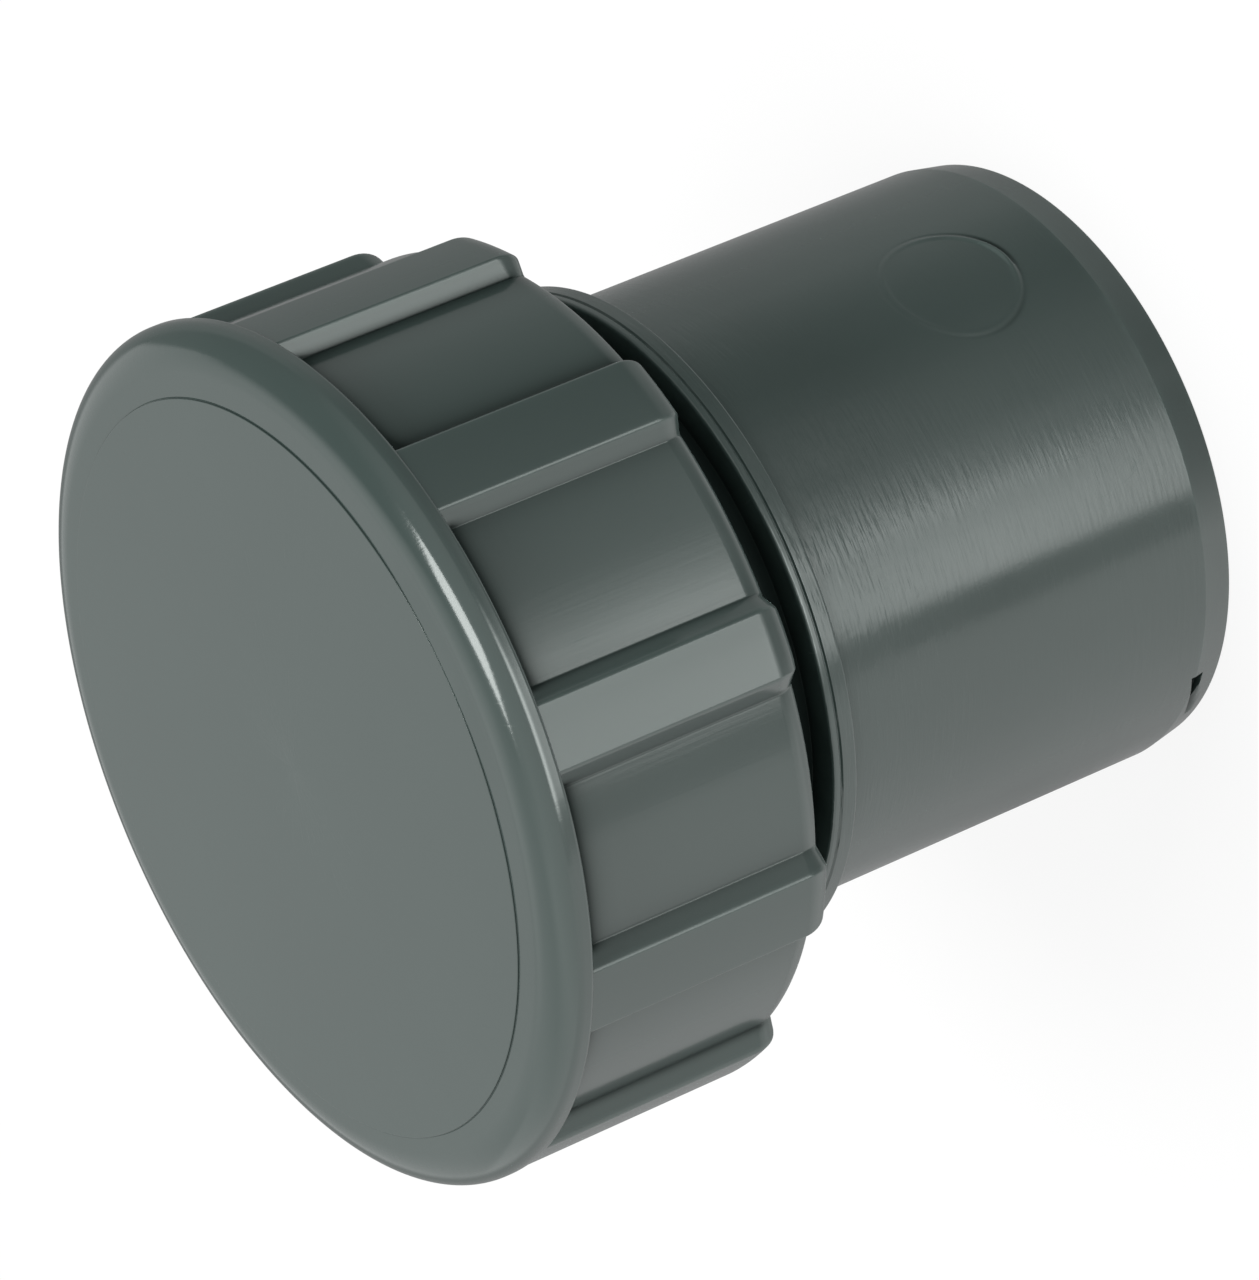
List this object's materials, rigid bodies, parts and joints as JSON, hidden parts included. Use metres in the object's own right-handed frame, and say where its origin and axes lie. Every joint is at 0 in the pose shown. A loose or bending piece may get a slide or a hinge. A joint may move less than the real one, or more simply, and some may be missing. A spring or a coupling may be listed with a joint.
{
  "type": "access plug",
  "caption": "Access plug for a waste pipe: plain spigot with a collar and threaded neck, sealing washer, and a lugged screw cap with a raised disc on its face.",
  "frame": {"origin": "on the axis, in the plane of the spigot's open end, which the plug stands on", "axes": "+Z along the axis from the open end up to the cap's face; -Y through the middle of one grip lug; X completes the right-handed frame"},
  "size_m": [0.0602, 0.06, 0.0615],
  "materials": {
    "spigot_plastic": "dark grey moulded plastic, satin, fine turned lines around it",
    "seal_rubber": "matt black rubber",
    "cap_plastic": "dark grey moulded plastic, satin"
  },
  "bodies": {
    "spigot": {"spigot": "spigot_plastic"},
    "washer": {"sealing_washer": "seal_rubber"},
    "cap": {"screw_cap": "cap_plastic"}
  },
  "joints": [
    {"name": "cap_rise", "type": "slide", "parent": "spigot", "child": "washer", "axis": [0, 0, 1], "range_m": [0, 0.0171]},
    {"name": "cap_turn", "type": "hinge", "parent": "washer", "child": "cap", "pos_m": [0, 0, 0.045], "axis": [0, 0, 1], "range_deg": [0, 1530]}
  ],
  "couplings": [
    {"joint": "cap_rise", "follows": "cap_turn", "m_per_rad": 0.00063662}
  ]
}
